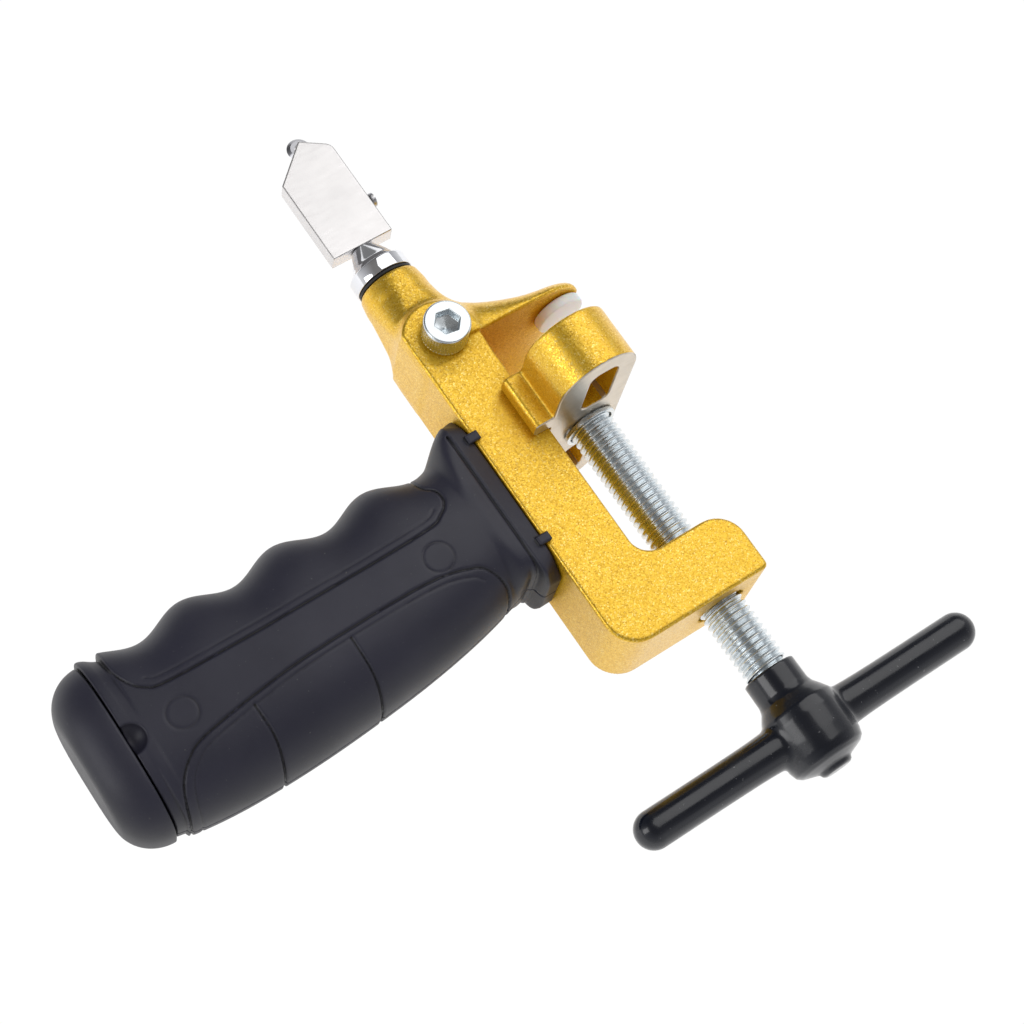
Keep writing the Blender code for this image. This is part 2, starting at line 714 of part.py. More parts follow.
# ==========================================================================
# moving groups: an empty on each joint's axis
# ==========================================================================
GROUPS = {
    "axis_jaw_slide": ((0, JAW_Y0, 0), ["moving_jaw", "thrust_washer", "retaining_clip"]),
    "axis_screw_turn": ((0, 0, 0), ["clamp_screw", "handle_hub", "t_bar", "vinyl_sleeve"]),
    "axis_stem_slide": ((STEM_X, 98.95, 0), ["cutter_stem", "stem_ring"]),
    "axis_head_swivel": ((STEM_X, 107.4, 0), ["cutter_head", "wheel_axle", "head_lock_screw"]),
}
for name, (origin, members) in GROUPS.items():
    empty = bpy.data.objects.new(name, None)
    empty.empty_display_size = 0.01
    empty.location = (DATUM + Vector(origin)) * MM
    bpy.context.scene.collection.objects.link(empty)
    bpy.context.view_layer.update()
    for member in members:
        child = bpy.data.objects[member]
        child.parent = empty
        child.matrix_parent_inverse = empty.matrix_world.inverted()
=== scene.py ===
import math

import bpy
import numpy as np
from mathutils import Matrix, Vector


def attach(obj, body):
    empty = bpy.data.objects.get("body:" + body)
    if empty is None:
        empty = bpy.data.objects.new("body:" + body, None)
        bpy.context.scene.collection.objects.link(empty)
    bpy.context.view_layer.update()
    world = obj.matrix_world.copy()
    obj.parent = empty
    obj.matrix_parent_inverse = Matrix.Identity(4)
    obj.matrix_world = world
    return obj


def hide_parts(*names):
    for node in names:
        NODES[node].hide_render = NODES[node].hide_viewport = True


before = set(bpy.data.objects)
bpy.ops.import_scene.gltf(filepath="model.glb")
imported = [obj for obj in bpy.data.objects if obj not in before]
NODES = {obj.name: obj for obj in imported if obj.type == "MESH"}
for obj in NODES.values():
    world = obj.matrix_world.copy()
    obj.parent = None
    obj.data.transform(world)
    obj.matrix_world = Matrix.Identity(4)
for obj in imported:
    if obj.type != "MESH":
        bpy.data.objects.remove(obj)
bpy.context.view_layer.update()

DATUM = np.array([42.0, -48.4, 31.0])
F = np.float32


# ---------------------------------------------------------------- mesh code
def to_object(name, v, faces, mats, body, nodes, index=None, angle=None):
    mesh = bpy.data.meshes.new(name)
    v = (np.asarray(v, np.float64) + DATUM) * 0.001
    faces = [np.asarray(f) for f in faces] if isinstance(faces, list) else np.asarray(faces)
    if isinstance(faces, np.ndarray):
        n, k = faces.shape
        mesh.vertices.add(len(v))
        mesh.vertices.foreach_set("co", v.ravel())
        mesh.loops.add(n * k)
        mesh.loops.foreach_set("vertex_index", faces.ravel().astype(np.int32))
        mesh.polygons.add(n)
        mesh.polygons.foreach_set("loop_start", np.arange(0, n * k, k, dtype=np.int32))
        mesh.update(calc_edges=True)
    else:
        mesh.from_pydata(v.tolist(), [], [f.tolist() for f in faces])
    for m in mats if isinstance(mats, (list, tuple)) else [mats]:
        mesh.materials.append(m)
    if index is not None:
        mesh.polygons.foreach_set("material_index", index.astype(np.int32))
    mesh.validate()
    mesh.shade_smooth()
    if angle:
        mesh.set_sharp_from_angle(angle=math.radians(angle))
    obj = bpy.data.objects.new(name, mesh)
    bpy.context.scene.collection.objects.link(obj)
    if nodes:
        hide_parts(*nodes)
    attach(obj, body)
    return obj


def nets(f, lo, hi, h, steps=3):
    """Surface of a signed field f(x, y, z) < 0, as quads with points set on it."""
    ax = [np.arange(lo[i] - h, hi[i] + 2 * h, h, dtype=F) for i in range(3)]
    g = np.ascontiguousarray(
        np.broadcast_to(f(ax[0][:, None, None], ax[1][None, :, None], ax[2][None, None, :]), [len(a) for a in ax]), F
    )
    s = g < 0
    nx, ny, nz = g.shape
    c = [s[i : nx - 1 + i, j : ny - 1 + j, k : nz - 1 + k] for i in (0, 1) for j in (0, 1) for k in (0, 1)]
    total = sum(a.astype(np.int8) for a in c)
    active = (total > 0) & (total < 8)
    ijk = np.argwhere(active)
    number = np.full(active.shape, -1, np.int32)
    number[active] = np.arange(len(ijk))
    pos = np.zeros((len(ijk), 3), F)
    cnt = np.zeros(len(ijk), F)
    corner = {(i, j, k): g[ijk[:, 0] + i, ijk[:, 1] + j, ijk[:, 2] + k] for i in (0, 1) for j in (0, 1) for k in (0, 1)}
    for a in corner:
        for d in range(3):
            if a[d]:
                continue
            b = tuple(1 if m == d else a[m] for m in range(3))
            va, vb = corner[a], corner[b]
            hit = (va < 0) != (vb < 0)
            t = np.where(hit, va / np.where(hit, va - vb, 1), 0)
            p = np.array(a, F)[None, :].repeat(len(t), 0)
            p[:, d] += t
            pos += p * hit[:, None]
            cnt += hit
    pos = pos / cnt[:, None] + ijk
    v = np.stack([ax[i][0] + pos[:, i] * h for i in range(3)], 1).astype(np.float64)
    quads = []
    for d in range(3):
        e, w = [(1, 2), (2, 0), (0, 1)][d]
        sl0 = [slice(None)] * 3
        sl1 = [slice(None)] * 3
        sl0[d], sl1[d] = slice(0, -1), slice(1, None)
        a, b = s[tuple(sl0)], s[tuple(sl1)]
        cross = np.argwhere(a != b)
        keep = (cross[:, e] > 0) & (cross[:, w] > 0) & (cross[:, e] < g.shape[e] - 1) & (cross[:, w] < g.shape[w] - 1)
        cross = cross[keep]
        out = a[tuple(cross.T)]
        q = []
        for de, dw in ((0, 0), (1, 0), (1, 1), (0, 1)):
            m = cross.copy()
            m[:, e] -= de
            m[:, w] -= dw
            q.append(number[tuple(m.T)])
        q = np.stack(q, 1)
        q[~out] = q[~out][:, ::-1]
        quads.append(q)
    quads = np.concatenate(quads)
    quads = quads[(quads >= 0).all(1)]
    e = 0.02
    for _ in range(steps):
        x, y, z = v.T
        d = f(x, y, z)
        gr = np.stack([f(x + e, y, z) - f(x - e, y, z), f(x, y + e, z) - f(x, y - e, z), f(x, y, z + e) - f(x, y, z - e)], 1) / (2 * e)
        n2 = np.maximum((gr**2).sum(1), 0.15)
        step = gr * (d / n2)[:, None]
        length = np.linalg.norm(step, axis=1)
        v -= step * np.minimum(1, 0.45 * h / np.maximum(length, 1e-9))[:, None]
    return v, quads


def lathe(profile, centre, axis="Y", n=96, radius=None):
    """Turned solid from (radius, station) pairs that run from one end of the axis to the other."""
    prof = [profile[0]]
    for p in profile[1:]:
        prof.append(p)
    v, rings = [], []
    for r, s in prof:
        if r < 1e-6:
            rings.append([len(v)])
            v.append((0, 0, s))
        else:
            rings.append(list(range(len(v), len(v) + n)))
            for i in range(n):
                t = 2 * math.pi * i / n
                v.append((r * math.cos(t), r * math.sin(t), s))
    faces = []
    for a, b in zip(rings, rings[1:]):
        for i in range(n):
            j = (i + 1) % n
            if len(a) == 1 and len(b) > 1:
                faces.append([a[0], b[j], b[i]])
            elif len(b) == 1 and len(a) > 1:
                faces.append([a[i], a[j], b[0]])
            elif len(a) > 1:
                faces.append([a[i], a[j], b[j], b[i]])
    v = np.array(v)
    if axis == "Y":
        v = np.stack([v[:, 1], v[:, 2], v[:, 0]], 1)
    elif axis == "X":
        v = np.stack([v[:, 2], v[:, 0], v[:, 1]], 1)
    return v + np.array(centre), faces


def round_profile(pts, r=0.25):
    """Small quarter rounds at each corner of a (radius, station) profile."""
    out = [pts[0]]
    for a, b, c in zip(pts, pts[1:], pts[2:]):
        a, b, c = map(np.array, (a, b, c))
        la, lc = np.linalg.norm(a - b), np.linalg.norm(c - b)
        k = min(r, la * 0.45, lc * 0.45)
        p, q = b + (a - b) / la * k, b + (c - b) / lc * k
        for t in (0, 0.25, 0.5, 0.75, 1):
            out.append(tuple((1 - t) ** 2 * p + 2 * t * (1 - t) * b + t * t * q))
    out.append(pts[-1])
    return out


def arc(cx, cy, r, a0, a1, n):
    return [(cx + r * math.cos(math.radians(a0 + (a1 - a0) * i / n)), cy + r * math.sin(math.radians(a0 + (a1 - a0) * i / n))) for i in range(n + 1)]


# ---------------------------------------------------------------- fields
def poly(x, y, pts):
    best, sign = None, None
    n = len(pts)
    for i in range(n):
        ax_, ay_ = pts[i]
        bx_, by_ = pts[(i + 1) % n]
        ex, ey = bx_ - ax_, by_ - ay_
        wx, wy = x - ax_, y - ay_
        t = np.clip((wx * ex + wy * ey) / (ex * ex + ey * ey + 1e-12), 0, 1)
        d = (wx - ex * t) ** 2 + (wy - ey * t) ** 2
        c1, c2, c3 = y >= ay_, y < by_, ex * wy > ey * wx
        flip = (c1 & c2 & c3) | (~c1 & ~c2 & ~c3)
        best = d if best is None else np.minimum(best, d)
        sign = flip if sign is None else sign ^ flip
    return np.where(sign, -1.0, 1.0) * np.sqrt(best)


def inter(a, b, r):
    """Intersection with a round edge of radius r."""
    a, b = a + r, b + r
    return np.minimum(np.maximum(a, b), 0) + np.hypot(np.maximum(a, 0), np.maximum(b, 0)) - r


def union(a, b, k):
    h = np.maximum(k - np.abs(a - b), 0) / k
    return np.minimum(a, b) - h * h * k * 0.25


def cut(a, b, r=0.0):
    return inter(a, -b, r) if r else np.maximum(a, -b)


def line_dist(x, y, pts):
    best = None
    for (ax_, ay_), (bx_, by_) in zip(pts, pts[1:]):
        ex, ey = bx_ - ax_, by_ - ay_
        wx, wy = x - ax_, y - ay_
        t = np.clip((wx * ex + wy * ey) / (ex * ex + ey * ey), 0, 1)
        d = (wx - ex * t) ** 2 + (wy - ey * t) ** 2
        best = d if best is None else np.minimum(best, d)
    return np.sqrt(best)


def spline(pts, per=6):
    """Catmull-Rom through the points."""
    p = [np.array(a, float) for a in pts]
    p = [2 * p[0] - p[1]] + p + [2 * p[-1] - p[-2]]
    out = []
    for a, b, c, d in zip(p, p[1:], p[2:], p[3:]):
        for i in range(per):
            t = i / per
            out.append(tuple(0.5 * (2 * b + (c - a) * t + (2 * a - 5 * b + 4 * c - d) * t * t + (3 * b - a - 3 * c + d) * t**3)))
    out.append(tuple(p[-2]))
    return out


def step01(t):
    t = np.clip(t, 0, 1)
    return t * t * (3 - 2 * t)


def cyl(x, y, cx, cy, r):
    return np.hypot(x - cx, y - cy) - r


# ---------------------------------------------------------------- materials
def node(nt, kind, **sets):
    n = nt.nodes.new(kind)
    for k, val in sets.items():
        if k in n.inputs:
            n.inputs[k].default_value = val
        else:
            setattr(n, k, val)
    return n


class Mat:
    def __init__(self, name, **sets):
        self.mat = bpy.data.materials.new(name)
        self.mat.use_nodes = True
        self.nt = self.mat.node_tree
        self.bsdf = self.nt.nodes["Principled BSDF"]
        for k, val in sets.items():
            self.bsdf.inputs[k.replace("_", " ")].default_value = val
        self.coord = node(self.nt, "ShaderNodeTexCoord").outputs["Object"]

    def link(self, a, b):
        self.nt.links.new(a, b)

    def noise(self, scale, detail=2.0, rough=0.5, coord=None, dist=0.0):
        n = node(self.nt, "ShaderNodeTexNoise", Scale=scale, Detail=detail, Roughness=rough, Distortion=dist)
        self.link(coord or self.coord, n.inputs["Vector"])
        return n.outputs["Fac"]

    def scaled(self, v):
        n = node(self.nt, "ShaderNodeMapping")
        n.inputs["Scale"].default_value = v
        self.link(self.coord, n.inputs["Vector"])
        return n.outputs["Vector"]

    def cells(self, scale, out="Color"):
        n = node(self.nt, "ShaderNodeTexVoronoi", Scale=scale)
        self.link(self.coord, n.inputs["Vector"])
        return n.outputs[out]

    def ramp(self, fac, stops):
        n = node(self.nt, "ShaderNodeValToRGB")
        r = n.color_ramp
        while len(r.elements) < len(stops):
            r.elements.new(0.5)
        for e, (p, c) in zip(r.elements, stops):
            e.position = p
            e.color = (*c, 1) if len(c) == 3 else c
        self.link(fac, n.inputs["Fac"])
        return n.outputs["Color"]

    def range(self, fac, a, b, lo=0.0, hi=1.0):
        n = node(self.nt, "ShaderNodeMapRange")
        for k, val in (("From Min", lo), ("From Max", hi), ("To Min", a), ("To Max", b)):
            n.inputs[k].default_value = val
        self.link(fac, n.inputs["Value"])
        return n.outputs["Result"]

    def mix(self, fac, a, b, mode="MIX"):
        n = node(self.nt, "ShaderNodeMix", data_type="RGBA", blend_type=mode)
        for s, val in ((0, fac), (6, a), (7, b)):
            if hasattr(val, "is_output"):
                self.link(val, n.inputs[s])
            else:
                n.inputs[s].default_value = val if s == 0 else (*val, 1)
        return n.outputs[2]

    def bump(self, height, strength, dist, normal=None):
        n = node(self.nt, "ShaderNodeBump", Strength=strength, Distance=dist)
        self.link(height, n.inputs["Height"])
        if normal:
            self.link(normal, n.inputs["Normal"])
        return n.outputs["Normal"]

    def put(self, **outs):
        for k, o in outs.items():
            self.link(o, self.bsdf.inputs[k.replace("_", " ")])
        return self.mat


def gold_paint():
    m = Mat("gold_glitter", Metallic=0.9, Roughness=0.4, Coat_Weight=0.4, Coat_Roughness=0.3)
    fleck = m.cells(4200.0)
    sep = node(m.nt, "ShaderNodeSeparateColor")
    m.link(fleck, sep.inputs["Color"])
    base = m.ramp(
        sep.outputs["Red"],
        [(0.0, (0.62, 0.32, 0.008)), (0.16, (0.77, 0.455, 0.020)), (0.55, (0.86, 0.54, 0.038)), (0.88, (0.92, 0.61, 0.072)), (1.0, (1.0, 0.78, 0.26))],
    )
    cloud = m.noise(260.0, 3.0, 0.6)
    color = m.mix(m.range(cloud, 0.0, 0.3, 0.35, 0.7), base, (0.85, 0.50, 0.022))
    geo = node(m.nt, "ShaderNodeNewGeometry")
    # Painted shade: concave creases (low pointiness) are darkened toward a deep brown.
    painted_crease_shade = m.range(geo.outputs["Pointiness"], 0.0, 1.0, 0.40, 0.47)
    color = m.mix(painted_crease_shade, (0.30, 0.13, 0.01), color)
    # Painted shade: where ambient occlusion finds deep corners, the gold is multiplied to a darker, redder tone.
    ao = node(m.nt, "ShaderNodeAmbientOcclusion", Distance=0.024)
    ao.samples = 6
    ao_openness = m.range(ao.outputs["AO"], 0.0, 1.0, 0.42, 0.76)
    color = m.mix(ao_openness, m.mix(1.0, color, (0.88, 0.83, 0.06), "MULTIPLY"), color)
    # Each fleck lies at its own tilt.
    nrm = node(m.nt, "ShaderNodeVectorMath", operation="SUBTRACT")
    m.link(fleck, nrm.inputs[0])
    nrm.inputs[1].default_value = (0.5, 0.5, 0.5)
    sc = node(m.nt, "ShaderNodeVectorMath", operation="SCALE")
    m.link(nrm.outputs[0], sc.inputs[0])
    sc.inputs["Scale"].default_value = 0.125
    add = node(m.nt, "ShaderNodeVectorMath", operation="ADD")
    m.link(sc.outputs[0], add.inputs[0])
    m.link(m.bump(m.noise(900.0, 2.0), 0.05, 0.0001), add.inputs[1])
    norm = node(m.nt, "ShaderNodeVectorMath", operation="NORMALIZE")
    m.link(add.outputs[0], norm.inputs[0])
    rough = m.range(sep.outputs["Green"], 0.28, 0.52)
    return m.put(Base_Color=color, Normal=norm.outputs[0], Roughness=m.mix(ao_openness, (0.85, 0.85, 0.85), rough), Metallic=m.range(ao_openness, 0.6, 0.9), Coat_Weight=m.range(ao_openness, 0.0, 0.5))


def bare_cast():
    m = Mat("bare_machined", Metallic=0.9, Roughness=0.3)
    n = m.noise(160.0, 4.0, 0.6)
    swirl = m.noise(90.0, 3.0, 0.6, m.scaled((1.0, 1.0, 14.0)))
    color = m.mix(m.range(n, 0.0, 1.0, 0.3, 0.7), (0.58, 0.52, 0.43), (0.70, 0.64, 0.55))
    return m.put(Base_Color=color, Roughness=m.range(swirl, 0.22, 0.42), Normal=m.bump(swirl, 0.15, 0.0001))


def black_grip():
    m = Mat("black_moulded", Roughness=0.46)
    m.bsdf.inputs["Specular IOR Level"].default_value = 0.5
    fine = m.noise(5200.0, 3.0, 0.6)
    soft = m.noise(60.0, 3.0, 0.55)
    dust = m.range(m.noise(1500.0, 2.0, 0.5), 0.0, 1.0, 0.72, 0.80)
    color = m.mix(m.range(soft, 0.0, 1.0, 0.35, 0.65), (0.0175, 0.0175, 0.034), (0.0235, 0.0233, 0.042))
    color = m.mix(dust, color, (0.075, 0.075, 0.08))
    geo = node(m.nt, "ShaderNodeNewGeometry")
    # Painted shade: concave grooves (low pointiness) are darkened nearly to black.
    color = m.mix(m.range(geo.outputs["Pointiness"], 0.0, 1.0, 0.445, 0.492), (0.004, 0.004, 0.005), color)
    # Painted shade: the rounded flanks, whose normals turn away from the Z axis, are darkened to about a third of the
    # flats' colour.
    face = node(m.nt, "ShaderNodeSeparateXYZ")
    m.link(geo.outputs["Normal"], face.inputs[0])
    size = node(m.nt, "ShaderNodeMath", operation="ABSOLUTE")
    m.link(face.outputs["Z"], size.inputs[0])
    color = m.mix(m.range(size.outputs[0], 0.0, 1.0, 0.15, 0.93), m.mix(1.0, color, (0.36, 0.36, 0.34), "MULTIPLY"), color)
    rough = m.range(m.noise(35.0, 4.0, 0.6), 0.40, 0.52, 0.3, 0.7)
    return m.put(Base_Color=color, Roughness=rough, Normal=m.bump(fine, 0.22, 0.00012))


def black_vinyl():
    m = Mat("black_vinyl", Roughness=0.2, Coat_Weight=0.3, Coat_Roughness=0.08)
    drip = m.noise(55.0, 2.0, 0.5)
    dust = m.range(m.noise(1300.0, 2.0, 0.5), 0.0, 1.0, 0.71, 0.78)
    color = m.mix(dust, (0.003, 0.005, 0.012), (0.16, 0.16, 0.17))
    return m.put(Base_Color=color, Roughness=m.range(m.noise(140.0, 3.0), 0.16, 0.30, 0.3, 0.7), Normal=m.bump(drip, 0.25, 0.0008))


def plated(name, tint, low, high, grain=(1, 1, 1), scale=300.0, bump=0.08):
    m = Mat(name, Metallic=1.0, Roughness=low)
    n = m.noise(scale, 4.0, 0.6, m.scaled(grain))
    blotch = m.noise(120.0, 3.0, 0.6)
    color = m.mix(m.range(blotch, 0.0, 1.0, 0.3, 0.7), tuple(0.94 * c for c in tint), tint)
    return m.put(Base_Color=color, Roughness=m.range(n, low, high, 0.25, 0.75), Normal=m.bump(n, bump, 0.00008))


def nylon():
    m = Mat("white_nylon", Roughness=0.36, Subsurface_Weight=0.45, Subsurface_Scale=0.003)
    n = m.noise(700.0, 3.0)
    color = m.mix(m.range(n, 0.0, 1.0, 0.3, 0.7), (0.91, 0.95, 1.0), (0.95, 0.98, 1.0))
    return m.put(Base_Color=color, Normal=m.bump(n, 0.08, 0.0001))


def rubber():
    m = Mat("black_rubber", Roughness=0.55)
    n = m.noise(2500.0, 3.0)
    color = m.mix(m.range(n, 0.0, 1.0, 0.3, 0.7), (0.012, 0.012, 0.013), (0.022, 0.022, 0.024))
    return m.put(Base_Color=color, Normal=m.bump(n, 0.2, 0.0001))


GOLD, BARE, GRIP, VINYL = gold_paint(), bare_cast(), black_grip(), black_vinyl()
ZINC = plated("zinc_plate", (0.72, 0.77, 0.80), 0.16, 0.34)
CHROME = plated("chrome_plate", (0.80, 0.81, 0.84), 0.03, 0.07, bump=0.01)
NICKEL = plated("nickel_plate", (0.705, 0.69, 0.688), 0.27, 0.34, (1, 5, 1), 220.0, 0.015)
STEEL = plated("turned_steel", (0.50, 0.50, 0.52), 0.25, 0.42)
CARBIDE = plated("carbide", (0.36, 0.36, 0.38), 0.16, 0.26)
NYLON, RUBBER = nylon(), rubber()

# ---------------------------------------------------------------- frame casting
SX0, SX1, HT = -26.75, -11.87, 10.5
MIDX = (SX0 + SX1) / 2
LEAN = math.degrees(math.acos((SX1 - SX0) / 2 / 8.6))
OUTLINE = (
    arc(SX0 + 7.0, 7.0, 7.0, 180, 270, 10)
    + arc(9.7 - 1.2, 1.2, 1.2, 270, 360, 4)
    + arc(9.7 - 6.5, 15.05 - 6.5, 6.5, 0, 90, 10)
    + arc(SX1 + 4.5, 15.05 + 4.5, 4.5, 270, 180, 8)
    + arc(MIDX, 77.2, 8.6, LEAN, 180 - LEAN, 14)
)
RISE_X = [-16, -11.9, -9, -7, -5, -3, -1, 1, 3, 5.4, 8, 10.3, 12.3, 15.5]
RISE_H = [13.5, 12.2, 10.4, 9.0, 7.9, 6.9, 6.0, 5.2, 4.6, 4.1, 3.7, 3.4, 3.1, 2.4]
BACK_X = [-16, -11, -8.5, -6, -3.5, -1.2, 1, 3, 5.5, 8, 10.5, 12.5, 14, 15, 15.5]
BACK_A = [10.3, 11.0, 13.6, 18.2, 23.2, 26.8, 28.6, 29.0, 27.8, 24.6, 19.4, 14.0, 8.8, 4.2, 1.0]


def frame_field(x, y, z):
    body = inter(poly(x, y, OUTLINE), np.abs(z) - HT, 0.55)
    hz = np.interp(y, [78, 82, 86, 90, 97.3], [9.9, 9.3, 8.1, 7.6, 6.95])
    hx = np.interp(y, [78, 94, 97.3], [7.4, 7.42, 6.95])
    cr = np.interp(y, [79, 86, 92], [2.4, 4.6, 6.9])
    qx, qz = np.abs(x + 18.85) - hx + cr, np.abs(z) - hz + cr
    neck = np.minimum(np.maximum(qx, qz), 0) + np.hypot(np.maximum(qx, 0), np.maximum(qz, 0)) - cr
    neck = inter(neck, np.maximum(y - 97.15, 72 - y), 0.6)
    a = np.where(x > 6.0, 9.4 * np.sqrt(np.clip(1 - ((x - 6.0) / 9.4) ** 2, 0.002, 1)), np.interp(x, [-16, -11, 0, 6.0], [10.3, 10.3, 9.95, 9.4]))
    # Behind the middle plane the arm spreads into a broad rounded paddle.
    a = np.where(z < 0, np.interp(x, BACK_X, BACK_A), a)
    h = np.interp(x, RISE_X, RISE_H)
    u = np.sqrt((z / a) ** 2 + (np.maximum(y - 74.6, -3) / h) ** 2 + 1e-9)
    crown = (u - 1) * np.minimum(a, h) * 0.85
    arm = inter(np.maximum(crown, np.maximum(x - 15.3, -16 - x)), 74.6 - y, 0.5)
    d = union(union(body, neck, 2.0), arm, 2.6 + 8.0 * step01(-z / 9.0))
    # The throat in front of the spine stays clear up to the arm's flat underside.
    d = np.maximum(d, -np.maximum(np.maximum(-11.86 - x, y - 74.55), 24 - y))
    d = np.maximum(d, -np.maximum(10.62 - np.abs(z), y - 74.55))
    d = np.maximum(d, -np.maximum(cyl(x, z, -18.9, 0, 4.25), 65 - y))
    d = np.maximum(d, -np.maximum(cyl(x, z, 0, 0, 5.3), y - 30))
    d = np.maximum(d, -np.maximum(cyl(x, y, -18.9, 77.2, 3.25), -z))
    # A spot face seats the socket screw's head.
    d = np.maximum(d, -np.maximum(cyl(x, y, -18.9, 77.2, 5.35), 10.56 - z))
    return d


v, q = nets(frame_field, (-27.2, -0.5, -29.8), (15.6, 97.6, 11), 0.42)
to_object("frame_casting", v, q, GOLD, "frame", ["frame"])

v, f = lathe(round_profile([(0, 72.0), (5.65, 72.0), (5.65, 74.3), (0, 74.3)], 0.5), (9.5, 0, 0))
to_object("nylon_pad_disc", v, f, NYLON, "frame", ["nylon_pad"])


# ---------------------------------------------------------------- moving jaw
def jaw_field(x, y, z):
    cx, r = (-11.55 + 7.65) / 2, 9.6
    az = np.abs(z)
    flat = np.hypot(x - cx, np.maximum(az - (31.0 - r), 0)) - r
    tab = np.maximum(np.abs(x + 11.4) - 4.6, np.abs(az - 13.075) - 2.225)
    tabr = inter(np.maximum(-16.0 - x, x + 6), np.maximum(10.85 - az, az - 15.3), 1.1)
    plan = union(flat, np.where(tab < 3, tabr, 9.0), 0.8)
    d = inter(plan, y - 60.9, 0.55)
    d = inter(d, 48.3 - y, 0.18)
    px, pz = np.abs(x + 0.6) - 3.5 + 2.4, np.abs(az - 17.6) - 7.8 + 2.4
    pocket = np.minimum(np.maximum(px, pz), 0) + np.hypot(np.maximum(px, 0), np.maximum(pz, 0)) - 2.4
    d = cut(d, np.maximum(pocket, y - 57.3), 0.2)
    d = np.maximum(d, -np.maximum(cyl(x, z, 0, 0, 5.3), y - 57.2))
    return d


v, q = nets(jaw_field, (-16.2, 48.0, -31.3), (7.9, 61.2, 31.3), 0.36)
c = v[q].mean(1)
low = (v[q][:, :, 1].max(1) < 48.62) | ((np.abs(c[:, 0] + 0.6) < 3.2) & (np.abs(np.abs(c[:, 2]) - 17.6) < 7.5) & (c[:, 1] < 57.6))
to_object("moving_jaw_casting", v, q, [GOLD, BARE], "jaw", ["moving_jaw"], low.astype(int))
v, f = lathe(round_profile([(5.25, 47.5), (5.25, 47.1), (6.1, 47.1), (6.1, 48.0), (5.25, 48.0), (5.25, 47.5)], 0.1), (0, 0, 0))
to_object("thrust_ring", v, f, ZINC, "jaw", ["thrust_washer"])


# ---------------------------------------------------------------- clamp screw with its thread
def thread():
    pitch, n, dy = 1.5, 72, 0.125
    ys = np.arange(-26.8, 49.75, dy)
    th = 2 * np.pi * np.arange(n) / n
    yy, tt = np.meshgrid(ys, th, indexing="ij")
    ph = ((yy / pitch - tt / (2 * np.pi)) % 1.0)
    tri = 1 - np.abs(2 * ph - 1)
    r = 4.12 + 0.83 * np.clip(tri * 1.35 - 0.12, 0, 1) ** 0.9
    r = np.minimum(r, 4.15 + 0.8 * np.clip((49.6 - yy) / 0.8, 0, 1))
    v = np.stack([r * np.sin(tt), yy, r * np.cos(tt)], -1).reshape(-1, 3)
    m = len(ys)
    i, j = np.meshgrid(np.arange(m - 1), np.arange(n), indexing="ij")
    j2 = (j + 1) % n
    q = np.stack([i * n + j, i * n + j2, (i + 1) * n + j2, (i + 1) * n + j], -1).reshape(-1, 4)
    faces = [*q]
    ring = list(range((m - 1) * n, m * n))
    vv = [v]
    count = len(v)
    for r2, y2 in ((3.9, 50.6), (3.9, 52.9), (2.9, 52.95), (2.9, 54.45), (3.9, 54.5), (3.9, 56.2), (3.3, 56.8), (0.01, 56.8)):
        t = np.stack([r2 * np.sin(th), np.full(n, y2), r2 * np.cos(th)], -1)
        vv.append(t)
        new = list(range(count, count + n))
        faces += [np.array([ring[a], ring[(a + 1) % n], new[(a + 1) % n], new[a]]) for a in range(n)]
        ring = new
        count += n
    faces.append(np.array(ring))
    faces.append(np.arange(n)[::-1])
    return np.concatenate(vv), faces


v, f = thread()
to_object("clamp_screw_thread", v, f, ZINC, "clamp_screw", ["clamp_screw"], angle=80)


# ---------------------------------------------------------------- dipped T-handle
def sleeve_field(x, y, z):
    r = np.hypot(x, z)
    yy = [-41.0, -40.6, -39.8, -39.2, -38.6, -37.8, -36.2, -33.0, -28.5, -26.3, -24.6, -23.2, -22.0, -16.8]
    rr = [3.0, 3.5, 3.9, 5.6, 7.2, 8.1, 8.6, 8.75, 8.75, 8.4, 7.3, 6.3, 5.95, 5.9]
    hub = inter(r - np.interp(y, yy, rr), np.maximum(y + 16.8, -41.0 - y), 0.35)
    bx = np.abs(x)
    rad = 4.15 + 0.35 * np.exp(-np.maximum(bx - 9, 0) / 4.5)
    bar = np.hypot(np.hypot(y + 30.8, z), np.maximum(bx - 39.35, 0)) - rad
    d = union(hub, bar, 1.3)
    return np.maximum(d, -np.maximum(r - 5.25, -26.5 - y))


v, q = nets(sleeve_field, (-43.8, -41.3, -9), (43.8, -16.5, 9), 0.42)
to_object("vinyl_skin", v, q, VINYL, "clamp_screw", ["vinyl_sleeve"])

# ---------------------------------------------------------------- cutter
v, f = lathe(
    round_profile(
        [(0, 66.0), (3.6, 66.0), (3.9, 66.6), (3.9, 98.1), (6.85, 98.1), (6.9, 101.3), (5.45, 102.75), (5.1, 103.3), (2.75, 107.15), (1.25, 107.15), (1.25, 119.4), (0, 119.4)],
        0.22,
    ),
    (-18.9, 0, 0),
    n=128,
)
to_object("stem_turned", v, f, CHROME, "stem", ["cutter_stem"], angle=25)
v, f = lathe(round_profile([(4.25, 97.7), (4.25, 97.35), (6.6, 97.35), (6.6, 98.0), (4.25, 98.0), (4.25, 97.7)], 0.15), (-18.9, 0, 0))
to_object("stem_washer", v, f, RUBBER, "stem", ["stem_ring"])
HEAD = [(-26.3, 107.4), (-11.3, 107.4), (-11.3, 130.3)] + arc(-13.7, 130.7, 2.4, 0, 55, 5) + [(-17.3, 136.0), (-26.3, 128.1)]


def head_field(x, y, z):
    d = inter(poly(x, y, HEAD), np.abs(z) - 2.1, 0.16)
    d = cut(d, np.maximum(cyl(x, y, -17.5, 135.1, 3.3), np.abs(z) - 0.95), 0.1)
    d = np.maximum(d, -np.maximum(cyl(x, z, -18.9, 0, 1.5), y - 119.8))
    d = np.maximum(d, -np.maximum(cyl(y, z, 116.5, 0, 1.4), -18.9 - x))
    return d


